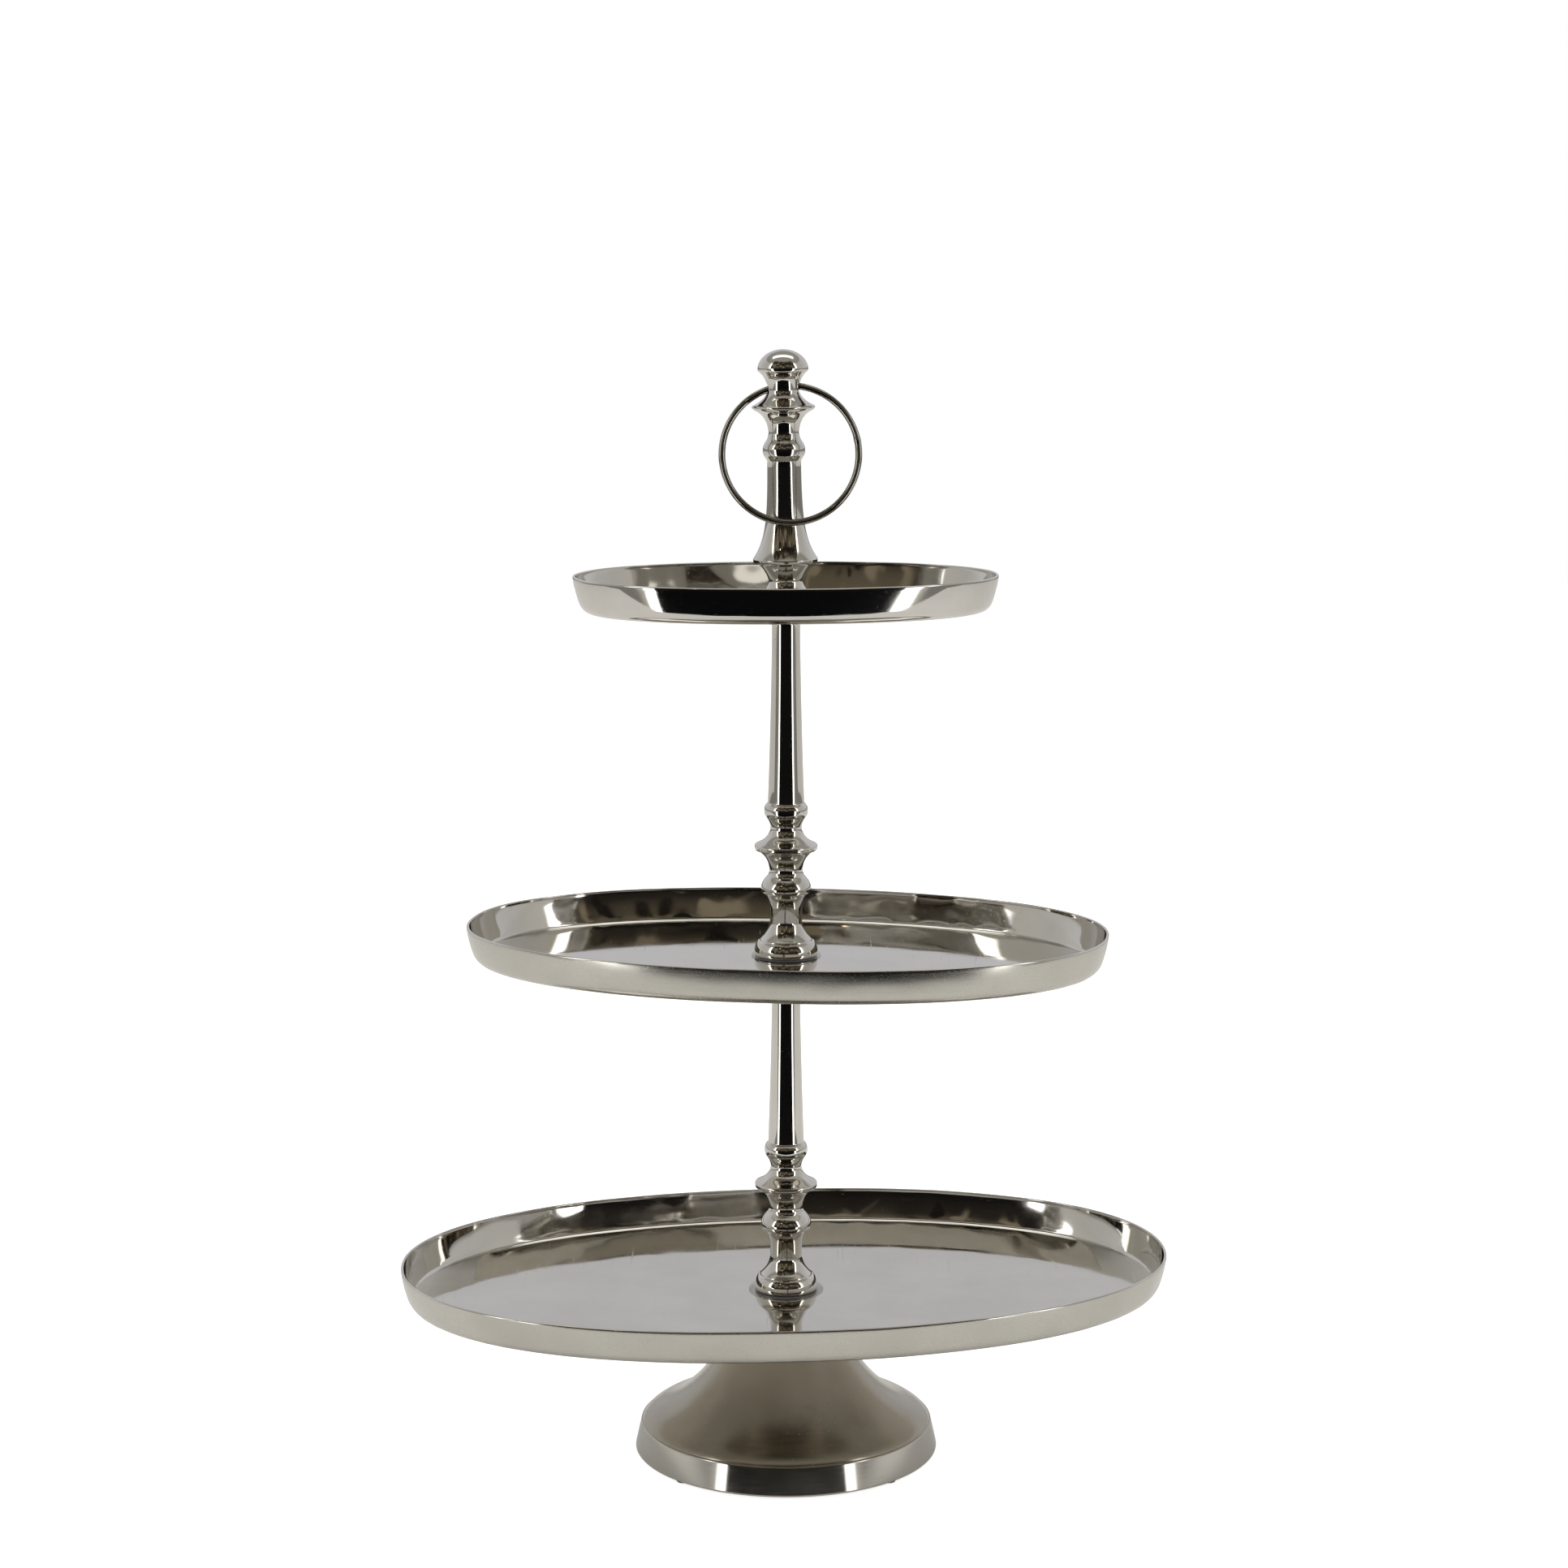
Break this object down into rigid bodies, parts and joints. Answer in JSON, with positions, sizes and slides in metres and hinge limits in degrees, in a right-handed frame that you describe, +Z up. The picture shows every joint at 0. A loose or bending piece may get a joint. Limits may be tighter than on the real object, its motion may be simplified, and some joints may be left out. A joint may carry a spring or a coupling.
{
  "type": "tiered cake stand",
  "caption": "Tall stand with shallow oval trays, largest at the bottom, clamped on a turned post over a bell-shaped foot, with a knob and a swinging wire ring as its handle.",
  "frame": {"origin": "on the table under the centre of the foot", "axes": "+Z up along the post, -Y the front, where the ring hangs, +X to the viewer's right along the trays' length"},
  "size_m": [0.4802, 0.303, 0.6906],
  "materials": {
    "polished_nickel_plate": "bright nickel plate on polished cast aluminium",
    "satin_nickel_plate": "nickel plate on satin-brushed cast aluminium",
    "nickel_plated_wire": "bright nickel plate on steel wire",
    "zinc_plated_steel": "bright zinc plate on steel",
    "clear_plastic": "clear, smooth",
    "black_rubber": "matt",
    "grey_felt": "pressed felt"
  },
  "bodies": {
    "post": {"foot": "satin_nickel_plate", "foot_pad_1": "grey_felt", "foot_pad_2": "grey_felt", "foot_pad_3": "grey_felt", "foot_pad_4": "grey_felt", "foot_washer": "zinc_plated_steel", "foot_nut": "zinc_plated_steel", "foot_stud": "zinc_plated_steel", "middle_stud": "zinc_plated_steel", "top_stud": "zinc_plated_steel", "bottom_gasket": "black_rubber", "middle_gasket": "black_rubber", "top_gasket": "black_rubber", "bottom_clear_washer": "clear_plastic", "middle_clear_washer": "clear_plastic", "top_clear_washer": "clear_plastic", "lower_stem": "polished_nickel_plate", "upper_stem": "polished_nickel_plate", "handle": "polished_nickel_plate"},
    "bottom_tray": {"bottom_tray": "polished_nickel_plate"},
    "middle_tray": {"middle_tray": "polished_nickel_plate"},
    "top_tray": {"top_tray": "polished_nickel_plate"},
    "ring": {"ring": "nickel_plated_wire"}
  },
  "joints": [
    {"name": "bottom_tray_turn", "type": "hinge", "parent": "post", "child": "bottom_tray", "pos_m": [0, 0, 0.1023], "axis": [0, 0, 1], "continuous": true},
    {"name": "middle_tray_turn", "type": "hinge", "parent": "post", "child": "middle_tray", "pos_m": [0, 0, 0.3172], "axis": [0, 0, 1], "continuous": true},
    {"name": "top_tray_turn", "type": "hinge", "parent": "post", "child": "top_tray", "pos_m": [0, 0, 0.5321], "axis": [0, 0, 1], "continuous": true},
    {"name": "ring_swing", "type": "hinge", "parent": "post", "child": "ring", "pos_m": [0, 0, 0.6678], "axis": [-1, 0, 0], "range_deg": [0, 340]}
  ]
}
